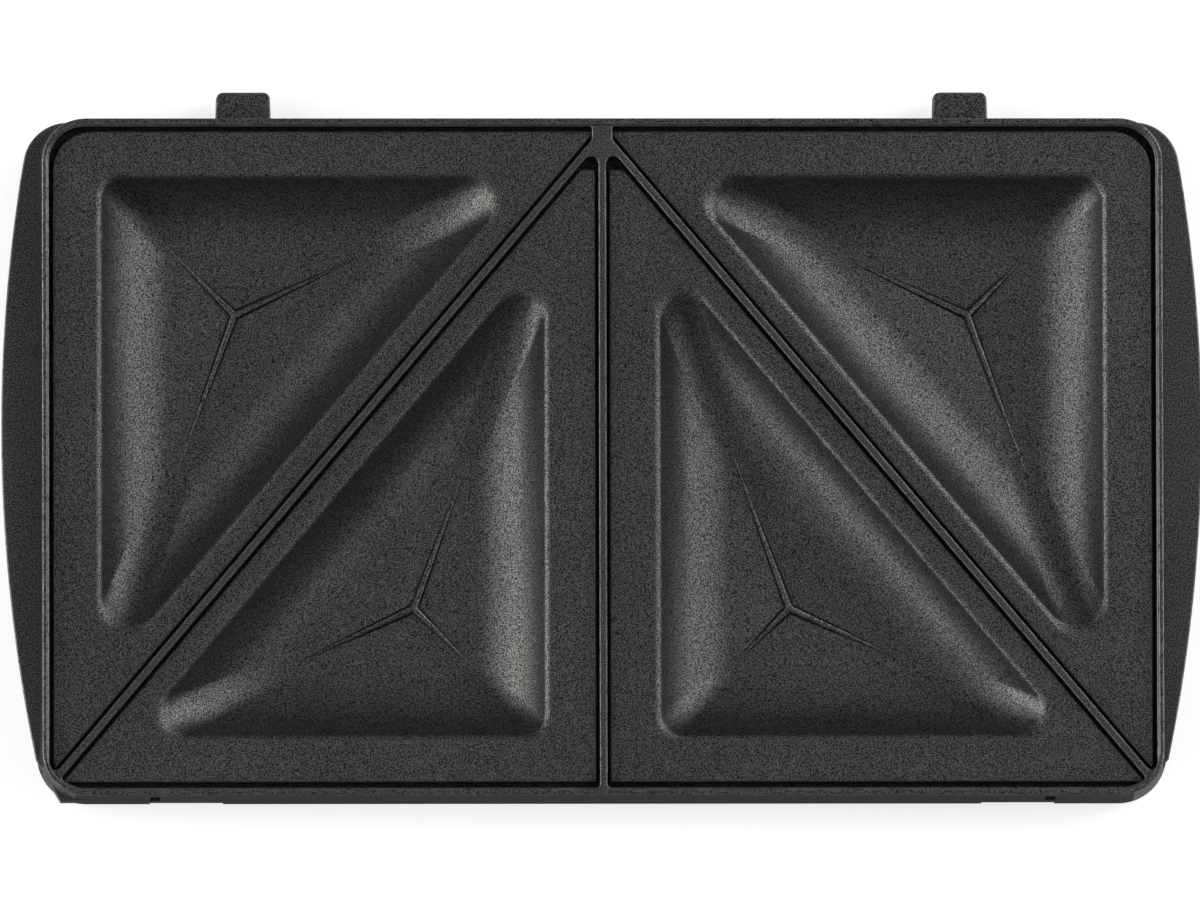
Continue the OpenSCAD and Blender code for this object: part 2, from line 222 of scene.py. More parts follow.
def step(inwards, rise):
    face = next(f for f in editedMesh().faces if f.select)
    face.normal_update()
    along = rise if face.normal.z > 0 else -rise
    bpy.ops.mesh.inset(thickness=inwards, depth=along, use_boundary=True, use_even_offset=True)


# A rounded edge in a few steps, from a flat face to a wall or from a wall to a flat face
def turnOver(radius, fromFlat, rise, segments=3):
    for i in range(segments):
        start, end = pi / 2 * i / segments, pi / 2 * (i + 1) / segments
        sines = radius * (sin(end) - sin(start))
        cosines = radius * (cos(start) - cos(end))
        if fromFlat:
            step(sines, rise * cosines)
        else:
            step(cosines, rise * sines)


def openFace():
    bpy.ops.mesh.delete(type='ONLY_FACE')


def fillBetween(height):
    pick('EDGE', lambda e: e.is_boundary and all(abs(v.co.z - height) < sameLevel for v in e.verts))
    bpy.ops.mesh.fill(use_beauty=True)


apex = Vector((0, halfDepth - ribs['apexIn']))
ribFoot = Vector((ribs['footInX'] - halfWidth, ribs['footInY'] - halfDepth))
ribAlong = (ribFoot - apex).normalized()
ribOut = Vector((ribAlong.y, -ribAlong.x))          # towards the outer cell


def besideRibAtX(gap, x):
    start = apex + gap * ribOut
    return start + ribAlong * (x - start.x) / ribAlong.x


def besideRibAtY(gap, y):
    start = apex + gap * ribOut
    return start + ribAlong * (y - start.y) / ribAlong.y


def crossing(p, u, q, v):
    return p + u * (q - p).cross(v) / u.cross(v)


def incircle(corners):
    a, b, c = [Vector(corner) for corner in corners]
    sides = [(c - b).length, (a - c).length, (b - a).length]
    centre = (sides[0] * a + sides[1] * b + sides[2] * c) / sum(sides)
    return centre, abs((b - a).cross(c - a)) / sum(sides)


cellSide = rim['sideTop'] + lands['edge'] + lands['ledge'] - halfWidth
cellRear = halfDepth - rim['endTop'] - lands['edge'] - lands['ledge']
cellRadius = rim['innerRadius'] - lands['edge']
halfRib = ribs['width'] / 2
landSide = cellSide - lands['edge'] + lands['grooveSide']
landRear = cellRear + lands['edge'] - lands['grooveRear']
landFront = lands['grooveFront'] - cellRear - lands['edge']
landRib = halfRib + lands['grooveRib']
footTurn = radians(ribs['footTurn'])
footCorner = Vector((cellSide + cellRadius * (1 - tan(footTurn / 2)), -cellRear))
footSide = Vector((-cos(footTurn), sin(footTurn)))
landTipY = besideRibAtX(-halfRib, -halfRib).y - 2 * ribs['archRadius'] - lands['tipGap']

outerCell = {
    'cell': [(cellSide, cellRear), besideRibAtX(halfRib, cellSide),
             besideRibAtX(halfRib, -ribs['neckHalf']), (-ribs['neckHalf'], cellRear)],
    'cellRadii': [cellRadius, ribs['tipRadius'], ribs['neckRadius'], lands['sharp']],
    'land': [(landSide, landRear), besideRibAtX(landRib, landSide),
             besideRibAtY(landRib, landRear)],
    'landRadii': [lands['cornerRadius'], lands['sharp'], lands['sharp']],
    'pocket': [(pockets['outerSideIn'] - halfWidth, halfDepth - pockets['outerRearIn']),
               besideRibAtX(pockets['outerRibGap'], pockets['outerSideIn'] - halfWidth),
               besideRibAtY(pockets['outerRibGap'], halfDepth - pockets['outerRearIn'])],
    'pocketRadii': pockets['outerRadii'],
}
innerCell = {
    'cell': [(-halfRib, -cellRear), besideRibAtX(-halfRib, -halfRib),
             crossing(footCorner, footSide, apex - halfRib * ribOut, ribAlong), footCorner],
    'cellRadii': [ribs['middleFootRadius'], ribs['archRadius'], lands['sharp'], cellRadius],
    'land': [(-landRib, landFront), (-landRib, landTipY),
             besideRibAtY(-landRib, landTipY), besideRibAtY(-landRib, landFront)],
    'landRadii': [lands['sharp']] * 4,
    'pocket': [(-pockets['innerMiddleGap'], pockets['innerFrontIn'] - halfDepth),
               besideRibAtX(-pockets['innerRibGap'], -pockets['innerMiddleGap']),
               besideRibAtY(-pockets['innerRibGap'], pockets['innerFrontIn'] - halfDepth)],
    'pocketRadii': pockets['innerRadii'],
}

wallSlope = radians(pockets['wallSlope'])
floorSlope = radians(pockets['floorSlope'])
lipIn = pockets['lipRadius'] * sin(wallSlope)
lipEnd = landTop - pockets['lipRadius'] * (1 - cos(wallSlope))
coveRadius = (pockets['coveIn'] - lipIn) / (sin(wallSlope) - sin(floorSlope))
coveMiddle = Vector((lipIn + coveRadius * sin(wallSlope), lipEnd + coveRadius * cos(wallSlope)))
coveFoot = coveMiddle.y - coveRadius * cos(floorSlope)


def onCove(radius, slope):
    return coveMiddle - radius * Vector((sin(slope), cos(slope)))


def pitHeight(inradius):
    return coveFoot - (inradius - pockets['coveIn']) * tan(floorSlope)


# Points of a pocket's section as (inset from its edge, height), from the land down
def pocketSection(inradius):
    lip = [wallSlope * i / pockets['lipSteps'] for i in range(pockets['lipSteps'] + 1)]
    radius = pockets['lipRadius']
    section = [(radius * sin(t), landTop - radius * (1 - cos(t))) for t in lip]
    for i in range(1, pockets['coveSteps'] + 1):
        slope = wallSlope + (floorSlope - wallSlope) * i / pockets['coveSteps']
        section.append(onCove(coveRadius, slope))
    deepest = inradius - pockets['pitRadius']
    for i in range(1, pockets['floorSteps'] + 1):
        inset = pockets['coveIn'] + (deepest - pockets['coveIn']) * i / pockets['floorSteps']
        section.append((inset, coveFoot - (inset - pockets['coveIn']) * tan(floorSlope)))
    return section


# The same for the shell under it, from the deck down to a heater pad
def shellSection():
    outerRadius = coveRadius + underside['shellThickness']
    fillet = underside['fillet']
    steepest = acos((coveMiddle.y - deck + fillet) / (outerRadius + fillet))
    start = onCove(outerRadius, steepest).x - fillet * sin(steepest)
    section = []
    for i in range(underside['filletSteps'] + 1):
        t = steepest * i / underside['filletSteps']
        section.append((start + fillet * sin(t), deck - fillet * (1 - cos(t))))
    for i in range(1, underside['shellSteps'] + 1):
        slope = steepest + (floorSlope - steepest) * i / underside['shellSteps']
        section.append(onCove(outerRadius, slope))
    inset = section[-1][0]
    for across, up in underside['padEdge']:
        section.append((inset + underside['padStep'] * across, lands['edge'] * up))
    return section


# Rings shrink towards the centre of the inscribed circle, so the corners stay on straight lines
def carve(corners, radii, section, faceDown=False, segments=14):
    centre, inradius = incircle(corners)
    inset = section[0][0]
    start = 1 - inset / inradius
    addOutline(movedSides(corners, inset), [r * start for r in radii], section[0][1],
               segments, faceDown)
    for before, after in zip(section, section[1:]):
        keep = (inradius - after[0]) / (inradius - before[0])
        step(0, after[1] - before[1])
        bpy.ops.transform.resize(value=(keep, keep, 1), center_override=(centre.x, centre.y, 0))


def buildCell(size, name):
    edge = lands['edge']
    clearSelection()
    addOutline(movedSides(size['cell'], -edge), [r + edge for r in size['cellRadii']], ribTop)
    turnOver(edge, fromFlat=True, rise=-1)
    step(0, grooveFloor - ribTop + edge)
    openFace()
    addOutline(size['land'], size['landRadii'], grooveFloor)
    step(0, landTop - lands['landEdge'] - grooveFloor)
    turnOver(lands['landEdge'], fromFlat=False, rise=1, segments=4)
    openFace()
    inradius = incircle(size['pocket'])[1]
    carve(size['pocket'], size['pocketRadii'], pocketSection(inradius), segments=18)
    bpy.ops.mesh.merge(type='CENTER')
    fillBetween(grooveFloor)
    fillBetween(landTop)
    return endEditing(name)


def mirroredCopy(piece):
    clearSelection()
    piece.select_set(True)
    bpy.context.view_layer.objects.active = piece
    bpy.ops.object.duplicate()
    bpy.ops.object.mode_set(mode='EDIT')
    bpy.ops.mesh.select_all(action='SELECT')
    bpy.ops.transform.resize(value=(-1, 1, 1), center_override=(0, 0, 0))
    bpy.ops.mesh.flip_normals()
    return endEditing()


def joinPieces(pieces, name):
    clearSelection()
    for piece in pieces:
        piece.select_set(True)
    bpy.context.view_layer.objects.active = pieces[0]
    bpy.ops.object.join()
    bpy.ops.object.mode_set(mode='EDIT')
    bpy.ops.mesh.select_all(action='SELECT')
    bpy.ops.mesh.remove_doubles(threshold=0.002)
    return endEditing(name)


rimCorners = [(-halfWidth, -halfDepth), (halfWidth, -halfDepth),
              (halfWidth, halfDepth), (-halfWidth, halfDepth)]
wallFlare = (plateTop - rim['footHeight']) * tan(radians(rim['wallDraft']))
wallStart = rim['footHeight'] + rim['footEdge']
wallFoot = movedSides(rimCorners, -wallFlare)


def buildRim():
    clearSelection()
    edge = lands['edge']
    steps = rim['cornerSteps']
    addOutline(wallFoot, [rim['outerRadius'] + wallFlare] * 4, wallStart, steps)
    step(wallFlare, plateTop - rim['outerEdge'] - wallStart)
    turnOver(rim['outerEdge'], fromFlat=False, rise=1, segments=4)
    openFace()
    x, y = halfWidth - rim['sideTop'] + edge, halfDepth - rim['endTop'] + edge
    inner = [(-x, -y), (x, -y), (x, y), (-x, y)]
    addOutline(inner, [rim['innerRadius'] + edge] * 4, plateTop, steps)
    turnOver(edge, fromFlat=True, rise=-1)
    step(0, ribTop - plateTop + edge)
    openFace()
    fillBetween(plateTop)
    return endEditing('rim')


def buildUnderside():
    clearSelection()
    foot = rim['footEdge']
    fillet = underside['wallFillet']
    addOutline(wallFoot, [rim['outerRadius'] + wallFlare] * 4, wallStart,
               rim['cornerSteps'], faceDown=True)
    turnOver(foot, fromFlat=False, rise=-1)
    step(rim['footWidth'] - 2 * foot, 0)
    turnOver(foot, fromFlat=True, rise=1)
    step(rim['wallAtDeck'] + wallFlare - rim['footWidth'] - fillet, deck - wallStart - fillet)
    turnOver(fillet, fromFlat=False, rise=1, segments=5)
    openFace()
    for size in (outerCell, innerCell):
        for side in (-1, 1):
            carveShell(size, side)
    fillBetween(deck)
    return endEditing('underside')


def carveShell(size, side):
    corners = size['pocket']
    radii = size['pocketRadii']
    if side > 0:
        corners = [Vector((-c[0], c[1])) for c in reversed(corners)]
        radii = radii[::-1]
    carve(corners, radii, shellSection(), faceDown=True)


def startBlocks():
    bpy.ops.mesh.primitive_cube_add(size=1)
    bpy.ops.object.mode_set(mode='EDIT')
    bpy.ops.mesh.delete(type='VERT')


def addBlock(low, high):
    bpy.ops.mesh.select_all(action='DESELECT')
    middle = [(a + b) / 2 for a, b in zip(low, high)]
    sides = [b - a for a, b in zip(low, high)]
    bpy.ops.mesh.primitive_cube_add(size=1, location=middle, scale=sides)


webs = {
    'sink': 0.6,            # how far a web starts inside the wall's outer face
    'embed': 0.5,
    'edge': 0.35,
    'nearEnd': 0.5,         # from a pocket's edge to where a web starts to run into its shell
    'farEnd': 4.0,
    'endFall': 3.7,
    'longEdge': 2,          # only longer lower edges are rounded
    'lowBand': 1,           # points this close to the lower edge stay where the end falls away
}


def buildWebs():
    clearSelection()
    half = underside['webWidth'] / 2
    low = underside['webHeight']
    high = deck + webs['embed']
    sink = webs['sink']
    startBlocks()
    addBlock((-half, sink - halfDepth, low), (half, halfDepth - sink, high))
    near = webs['nearEnd']
    for x in underside['gussetX']:
        for side in (-1, 1):
            left = x if side < 0 else -x - 2 * half
            rearEnd = halfDepth - pockets['outerRearIn'] - near
            frontEnd = pockets['innerFrontIn'] - halfDepth + near
            addBlock((left, rearEnd, low), (left + 2 * half, halfDepth - sink, high))
            reachShell(Vector((0, -1)))
            addBlock((left, sink - halfDepth, low), (left + 2 * half, frontEnd, high))
            reachShell(Vector((0, 1)))
    sideEnd = pockets['outerSideIn'] - halfWidth + near
    for y in underside['gussetY']:
        addBlock((sink - halfWidth, y, low), (sideEnd, y + 2 * half, high))
        reachShell(Vector((1, 0)))
        addBlock((-sideEnd, y, low), (halfWidth - sink, y + 2 * half, high))
        reachShell(Vector((-1, 0)))
    pick('EDGE', lambda e: all(abs(v.co.z - low) < sameLevel for v in e.verts)
         and max(abs(e.verts[0].co.x - e.verts[1].co.x),
                 abs(e.verts[0].co.y - e.verts[1].co.y)) > webs['longEdge'])
    bpy.ops.mesh.bevel(affect='EDGES', offset=webs['edge'], segments=3, profile=0.5)
    bottom = deck - underside['pinDrop']
    depth = high - bottom
    for x, y in underside['pinSpots']:
        for side in (-1, 1):
            bpy.ops.mesh.select_all(action='DESELECT')
            bpy.ops.mesh.primitive_cylinder_add(
                vertices=48, radius=underside['pinDiameter'] / 2, depth=depth,
                location=(side * x, y, bottom + depth / 2))
    return endEditing('webs')


# The fresh block's end grows into the pocket's shell, its top falling away inside the metal
def reachShell(direction):
    mesh = editedMesh()
    fresh = [f for f in mesh.faces if f.select]
    end = max(fresh, key=lambda f: f.normal.xy.dot(direction))
    for f in fresh:
        f.select_set(f == end)
    bpy.ops.mesh.select_mode(type='FACE')
    run = webs['farEnd'] - webs['nearEnd']
    bpy.ops.mesh.extrude_region_move(TRANSFORM_OT_translate={'value': (*(direction * run), 0)})
    bpy.ops.mesh.select_mode(type='VERT')
    mesh = editedMesh()
    for v in mesh.verts:
        if v.select and v.co.z < underside['webHeight'] + webs['lowBand']:
            v.select_set(False)
    mesh.select_flush_mode()
    bpy.ops.transform.translate(value=(0, 0, -webs['endFall']))


def mirrorX(points):
    return [(-x, y) for x, y in reversed(points)]


flange = {
    'width': 239.5,         # over both flanges
    'arcRadius': 324,
    'peakY': 6.2,
    'rearRadius': 9,
    'rearIn': 0.2,
    'thickness': 2.2,
    'drop': 8,
    'arcStartIn': 7.5,      # from the rim's front
    'arcEndY': 56,
    'arcSteps': 40,
    'frontStart': 1,        # of the left tip's front edge past the rim's round corner
    'frontTipIn': 3.6,
    'tipRadius': 0.4,
    'tipBack': (1.15, 3.2),     # in from the rim's side and front
    'runOut': (3, 3),       # the same, where the right one ends
    'edge': 0.35,
}
tab = {
    'pitch': 143,
    'width': 11.1,
    'drop': 5.5,
    'thickness': 3.4,
    'taper': 0.2,
    'radius': 1.4,
    'edge': 0.4,
}
latch = {
    'pitch': 165.8,
    'width': 14.6,
    'depth': 0.24,
    'top': 1.5,
    'notchWidth': 2.0,
    'notchDepth': 2.4,
    'notchHeight': 6,
    'notchFloor': 4.2,
    'bossWall': 1.4,
    'bossOver': 0.5,
    'bossBackIn': 1,        # edges further back than this are rounded, and the lowest ones
    'bossFootBand': 0.1,
    'cutterOver': 1,
    'edge': 0.3,
}


# The left flange ends in a tip under the front corner, the right one runs out in the corner
def flangeOutline(side):
    reach = flange['width'] / 2
    radius = flange['arcRadius']
    centreX = reach - radius
    rearY = halfDepth - flange['rearIn']
    sink = webs['sink']
    cornerEnd = halfWidth - rim['outerRadius']

    def onArc(y):
        return centreX + (radius ** 2 - (y - flange['peakY']) ** 2) ** 0.5

    frontY = -halfDepth - wallFlare
    startY = flange['arcStartIn'] - halfDepth
    steps = flange['arcSteps']
    arcYs = [startY + (flange['arcEndY'] - startY) * i / steps for i in range(steps + 1)]
    corners = [(cornerEnd, sink - halfDepth)]
    if side < 0:
        sideIn, frontIn = flange['tipBack']
        corners += [(cornerEnd + flange['frontStart'], frontY),
                    (halfWidth - flange['frontTipIn'], frontY)]
        radii = [0, 0, flange['tipRadius'], 0]
    else:
        sideIn, frontIn = flange['runOut']
        radii = [0, 0]
    corners.append((halfWidth - sideIn, frontIn - halfDepth))
    corners += [(onArc(y), y) for y in arcYs]
    corners += [(onArc(rearY), rearY), (cornerEnd, rearY),
                (halfWidth - 2 * sink, halfDepth - rim['outerRadius']),
                (halfWidth - 2 * sink, rim['outerRadius'] - halfDepth)]
    radii += [0] * len(arcYs) + [flange['rearRadius'], 0, 0, 0]
    return corners, radii


def raiseSolid(corners, radii, low, high, edge, segments=14):
    addOutline(corners, radii, low, segments)
    bpy.ops.mesh.extrude_region_move(TRANSFORM_OT_translate={'value': (0, 0, high - low)})
    pick('EDGE', lambda e: any(all(abs(v.co.z - z) < samePlace for v in e.verts)
                               for z in (low, high))
         and len(e.link_faces) == 2 and abs(e.calc_face_angle(0)) > sharpTurn)
    bpy.ops.mesh.bevel(affect='EDGES', offset=edge, segments=3, profile=0.5)


def buildFlange(side):
    clearSelection()
    corners, radii = flangeOutline(side)
    if side < 0:
        corners, radii = mirrorX(corners), radii[::-1]
    top = plateTop - flange['drop']
    raiseSolid(corners, radii, top - flange['thickness'], top, flange['edge'])
    return endEditing('flange')


def buildTab(side):
    clearSelection()
    middle = side * tab['pitch'] / 2
    half = tab['width'] / 2
    inner = halfDepth - 2 * webs['sink']
    tip = halfDepth + tabReach
    corners = [(middle - half, inner), (middle + half, inner),
               (middle + half - tab['taper'], tip), (middle - half + tab['taper'], tip)]
    top = plateTop - tab['drop']
    radii = [0, 0, tab['radius'], tab['radius']]
    raiseSolid(corners, radii, top - tab['thickness'], top, tab['edge'], segments=10)
    return endEditing('rearTab')


def applyBoolean(piece, other, operation):
    clearSelection()
    bpy.context.view_layer.objects.active = piece
    piece.select_set(True)
    cut = piece.modifiers.new('shape', 'BOOLEAN')
    cut.operation = operation
    cut.object = other
    cut.solver = 'EXACT'
    bpy.ops.object.modifier_apply(modifier=cut.name)
    bpy.data.objects.remove(other)


# A boss behind the front wall closes the notch on its inside
def buildBoss(side):
    clearSelection()
    wall = latch['bossWall']
    left = -latch['pitch'] / 2 - latch['width'] / 2 - wall
    width = latch['notchWidth'] + 2 * wall
    low = latch['notchFloor'] - wall
    if side > 0:
        left = -left - width
    start = webs['embed'] - halfDepth
    end = start + latch['notchDepth'] + wall - webs['embed'] + latch['bossOver']
    startBlocks()
    addBlock((left, start, low), (left + width, end, deck + webs['embed']))
    pick('EDGE', lambda e: all(v.co.y > start + latch['bossBackIn'] for v in e.verts)
         or all(v.co.z < low + latch['bossFootBand'] for v in e.verts))
    bpy.ops.mesh.bevel(affect='EDGES', offset=latch['edge'], segments=3, profile=0.5)
    return endEditing('latchBoss')


# Cutters in the slanted wall's own frame: x along the wall, y into it, z up to the rim's edge
def buildLatchCutter(side, width, depth, low, high):
    clearSelection()
    start = -latch['pitch'] / 2 - latch['width'] / 2
    if side > 0:
        start = -start - width
    startBlocks()
    addBlock((start, -latch['cutterOver'], low), (start + width, depth, high))
    bpy.ops.transform.rotate(value=radians(rim['wallDraft']), orient_axis='X',
                             center_override=(0, 0, 0))
    bpy.ops.transform.translate(value=(0, -halfDepth, plateTop))
    return endEditing('latchCutter')


# The three raised ribs of a pocket's floor run from its deepest point and fade out in the corners
def buildFloorRibs(size, side):
    clearSelection()
    corners = size['pocket']
    centre, inradius = incircle(corners)
    pit = pitHeight(inradius)
    ends = movedSides(corners, pockets['coveIn'])
    shape = pockets['creaseShape']
    under = 1 + (1 - shape[0][0]) * webs['embed'] / (shape[0][1] * pockets['creaseHeight'])

    def outline(share, centreHeight, endHeight):
        places = []
        for i, end in enumerate(ends):
            along = (end - centre).normalized()
            following = (ends[(i + 1) % 3] - centre).normalized()
            across = Vector((-along.y, along.x))
            half = pockets['creaseEnd'] / 2 * share
            places += [(end - half * across, endHeight), (end + half * across, endHeight)]
            wide = pockets['creaseWidth'] / 2 * share
            turn = along.angle(following) / 2
            notch = centre + (along + following).normalized() * wide / sin(turn)
            places.append((notch, centreHeight))
        return [Vector((-side * place.x, place.y, height)) for place, height in places]

    low = outline(under, pit - webs['embed'], coveFoot - webs['embed'])
    count = len(low)
    bpy.ops.mesh.primitive_circle_add(vertices=count, radius=1, fill_type='NGON')
    bpy.ops.object.mode_set(mode='EDIT')
    for vertex, place in zip(editedMesh().verts, low):
        vertex.co = place
    pickLastFace()
    for share, rise in shape:
        top = outline(share, pit + rise * pockets['creaseHeight'],
                      coveFoot + rise * pockets['creaseEndHeight'])
        bpy.ops.mesh.extrude_region_move(TRANSFORM_OT_translate={'value': (0, 0, 1)})
        for vertex in editedMesh().verts:
            if vertex.select:
                nearest = min(range(count), key=lambda i: (low[i].xy - vertex.co.xy).length)
                vertex.co = top[nearest]
        low = top
    notches = top[2::3]
    for i in range(3):
        pair = (notches[i], notches[(i + 1) % 3])
        pick('VERT', lambda v: min((v.co - place).length for place in pair) < samePlace)
        bpy.ops.mesh.vert_connect()
    bpy.ops.mesh.select_all(action='SELECT')
    bpy.ops.mesh.quads_convert_to_tris()
    bpy.ops.mesh.normals_make_consistent(inside=False)
    return endEditing('floorRibs')


def buildCasting():
    outer = buildCell(outerCell, 'outerCell')
    inner = buildCell(innerCell, 'innerCell')
    top = [buildRim(), outer, inner, mirroredCopy(outer), mirroredCopy(inner)]
    casting = joinPieces(top, 'sandwichPlate')
    bpy.context.view_layer.objects.active = casting
    bpy.ops.object.mode_set(mode='EDIT')
    fillBetween(ribTop)
    endEditing()
    print('cooking side modelled')
    casting = joinPieces([casting, buildUnderside()], 'sandwichPlate')
    added = [buildWebs()]
    for build in (buildFlange, buildTab, buildBoss):
        added += [build(-1), build(1)]
    for piece in added:
        applyBoolean(casting, piece, 'UNION')
    for size in (outerCell, innerCell):
        for side in (-1, 1):
            applyBoolean(casting, buildFloorRibs(size, side), 'UNION')
    notchLow = latch['notchFloor'] - plateTop
    for side in (-1, 1):
        recess = buildLatchCutter(side, latch['width'], latch['depth'],
                                  -plateTop - latch['cutterOver'], -latch['top'])
        applyBoolean(casting, recess, 'DIFFERENCE')
        notch = buildLatchCutter(side, latch['notchWidth'], latch['notchDepth'], notchLow,
                                 notchLow + latch['notchHeight'])
        applyBoolean(casting, notch, 'DIFFERENCE')
    print('underside, flanges, tabs and latch recesses added')
    return casting


def finishPiece(piece):
    clearSelection()
    piece.select_set(True)
    bpy.context.view_layer.objects.active = piece
    bpy.ops.object.mode_set(mode='EDIT')
    bpy.ops.mesh.select_all(action='SELECT')
    bpy.ops.mesh.normals_make_consistent(inside=False)
    bpy.ops.transform.translate(value=(0, rimCentreY, 0))
    bpy.ops.transform.resize(value=(millimetre,) * 3, center_override=(0, 0, 0))
    bpy.ops.object.mode_set(mode='OBJECT')
    bpy.ops.object.shade_smooth_by_angle(angle=radians(smoothAngle))
    weighted = piece.modifiers.new('evenShading', 'WEIGHTED_NORMAL')
    weighted.keep_sharp = True
    bpy.ops.object.modifier_apply(modifier=weighted.name)
    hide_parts('sandwich_plate')
    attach(piece, 'root')


casting = buildCasting()
finishPiece(casting)


surface = {
    'narrow': 0.5,          # millimetres across a face of a rounded edge
    'bend': 12,             # degrees to its neighbours
    'flush': 0.02,          # millimetres
    'grooveWallRise': 0.3,  # a face is steep where its normal rises less
    'outerWallRise': 0.5,
    'outsideBy': -0.05,     # millimetres past the rim's top edge
    'ribSideRise': (0.2, 0.75),
    'ribSideIn': 12,
    'grooveWallShade': 0.6,
    'ribSideShade': 0.7,
}
markNames = ('edge', 'shadedHollow', 'wall')


# Face marks for the coating: 'edge' on rounded edges, where it wears, a painted-shade mark in the
# grooves and beside the floor ribs, and 'wall' on the outer walls, where shade is painted into the
# colour and the roughness is raised
def markSurface(piece):
    for name in markNames:
        piece.data.attributes.new(name, 'FLOAT', 'FACE')
    marks = {name: piece.data.attributes[name].data for name in markNames}
    floorHeight = grooveFloor * millimetre
    lowest, highest = surface['ribSideRise']
    mesh = bmesh.new()
    mesh.from_mesh(piece.data)
    mesh.faces.ensure_lookup_table()
    for i, face in enumerate(mesh.faces):
        bends = [degrees(side.calc_face_angle_signed(0)) for side in face.edges]
        narrow = 2 * face.calc_area() < surface['narrow'] * millimetre * face.calc_perimeter()
        if narrow and sum(bend > surface['bend'] for bend in bends) > 1:
            marks['edge'][i].value = 1
        onFloor = sum(abs(v.co.z - floorHeight) < surface['flush'] * millimetre for v in face.verts)
        rise = face.normal.z
        # Painted shade: groove floors, groove walls and the sides of the floor ribs get a mark that
        # darkens their colour
        if onFloor == len(face.verts):
            marks['shadedHollow'][i].value = 1
        elif onFloor and abs(rise) < surface['grooveWallRise']:
            marks['shadedHollow'][i].value = surface['grooveWallShade']
        x, y, z = face.calc_center_median() / millimetre
        pastX, pastY = abs(x) - halfWidth, abs(y - rimCentreY) - halfDepth
        if z < underside['webHeight'] and lowest < rise < highest and pastY < -surface['ribSideIn']:
            marks['shadedHollow'][i].value = surface['ribSideShade']
        outside = max(pastX, pastY) > surface['outsideBy']
        marks['wall'][i].value = outside and abs(rise) < surface['outerWallRise']
    mesh.free()


markSurface(casting)

coating = {
    'dark': (0.0130, 0.0140, 0.0132),       # between the grains
    'light': (0.1240, 0.1290, 0.1210),
    'worn': (0.1650, 0.1680, 0.1620),       # on the outer edges
    'wear': 0.5,
    'wearSize': 2.4,
    'wearMiddle': 0.46,     # of the noise that breaks the wear up
    'wearSpread': 0.16,
    'hollowShade': 0.75,
    'metallic': 0.8,        # share of flakes in the dark binder
    'edgeTint': (0.35, 0.35, 0.35, 1),      # keeps them dull at a grazing angle
    'grainSize': 0.26,      # millimetres
    'grainContrast': 0.09,
    'grainHeight': 0.02,
    'patchSize': 22.0,
    'patchSpread': 0.2,
    'patchShade': 0.16,
    'patchRoughness': 0.3,  # share of the roughness spread
    'peelSize': 1.3,
    'peelHeight': 0.006,
    'roughness': 0.42,
    'roughnessSpread': 0.06,
    'wallRoughness': 0.2,   # more on the outer walls, where the spray lands dry
    # painted shade: darkens the colour of the outer walls
    'wallShade': 0.6,
}


number, vector = 'NodeSocketFloat', 'NodeSocketVector'


def newGroup(name, inputs, outputs):
    group = bpy.data.node_groups.new(name, 'ShaderNodeTree')
    for label, kind in inputs.items():
        group.interface.new_socket(name=label, in_out='INPUT', socket_type=kind)
    for label in outputs:
        group.interface.new_socket(name=label, in_out='OUTPUT', socket_type=number)
    start, end = group.nodes.new('NodeGroupInput'), group.nodes.new('NodeGroupOutput')
    return group, start.outputs, end.inputs


# Puts a node in a tree and sets or links its inputs
def addNode(tree, kind, values=None, **settings):
    node = tree.nodes.new(kind)
    for name, value in settings.items():
        setattr(node, name, value)
    for socket, value in (values or {}).items():
        if isinstance(value, bpy.types.NodeSocket):
            tree.links.new(value, node.inputs[socket])
        else:
            node.inputs[socket].default_value = value
    return node


def addMath(tree, operation, *values):
    return addNode(tree, 'ShaderNodeMath', dict(enumerate(values)), operation=operation).outputs[0]


def addNoise(tree, vector, size, detail, roughness):
    scale = addMath(tree, 'DIVIDE', 1 / millimetre, size)
    values = {'Vector': vector, 'Scale': scale, 'Detail': detail, 'Roughness': roughness}
    return addNode(tree, 'ShaderNodeTexNoise', values).outputs['Fac']


def stretched(tree, value, middle, spread):
    low = addMath(tree, 'SUBTRACT', middle, spread)
    high = addMath(tree, 'ADD', middle, spread)
    values = {'Value': value, 'From Min': low, 'From Max': high}
    return addNode(tree, 'ShaderNodeMapRange', values).outputs['Result']


# Fine grain of the sprayed coating
def buildGrainGroup():
    sockets = {'Vector': vector, 'Size': number, 'Contrast': number}
    group, inputs, outputs = newGroup('coatingGrain', sockets, ['Grain', 'Height'])
    fine = addNoise(group, inputs['Vector'], inputs['Size'], detail=1.0, roughness=0.6)
    group.links.new(stretched(group, fine, 0.5, inputs['Contrast']), outputs['Grain'])
    group.links.new(fine, outputs['Height'])
    return group


# Slow changes in the coating's thickness, and its slight orange peel
def buildUnevenGroup():
    sockets = {'Vector': vector, 'Patch Size': number, 'Peel Size': number}
    group, inputs, outputs = newGroup('unevenCoat', sockets, ['Patches', 'Peel'])
    patches = addNoise(group, inputs['Vector'], inputs['Patch Size'], detail=3.0, roughness=0.55)
    peel = addNoise(group, inputs['Vector'], inputs['Peel Size'], detail=1.0, roughness=0.5)
    group.links.new(stretched(group, patches, 0.5, coating['patchSpread']), outputs['Patches'])
    group.links.new(peel, outputs['Peel'])
    return group


# Rounded edges rub bright, in uneven stretches
def buildWearGroup():
    sockets = {'Vector': vector, 'Edge': number, 'Amount': number}
    group, inputs, outputs = newGroup('wornEdge', sockets, ['Wear'])
    noise = addNoise(group, inputs['Vector'], coating['wearSize'], detail=3.0, roughness=0.6)
    broken = stretched(group, noise, coating['wearMiddle'], coating['wearSpread'])
    worn = addMath(group, 'MULTIPLY', inputs['Edge'], inputs['Amount'])
    group.links.new(addMath(group, 'MULTIPLY', worn, broken), outputs['Wear'])
    return group


def placeGroup(tree, group, values):
    return addNode(tree, 'ShaderNodeGroup', values, node_tree=group).outputs


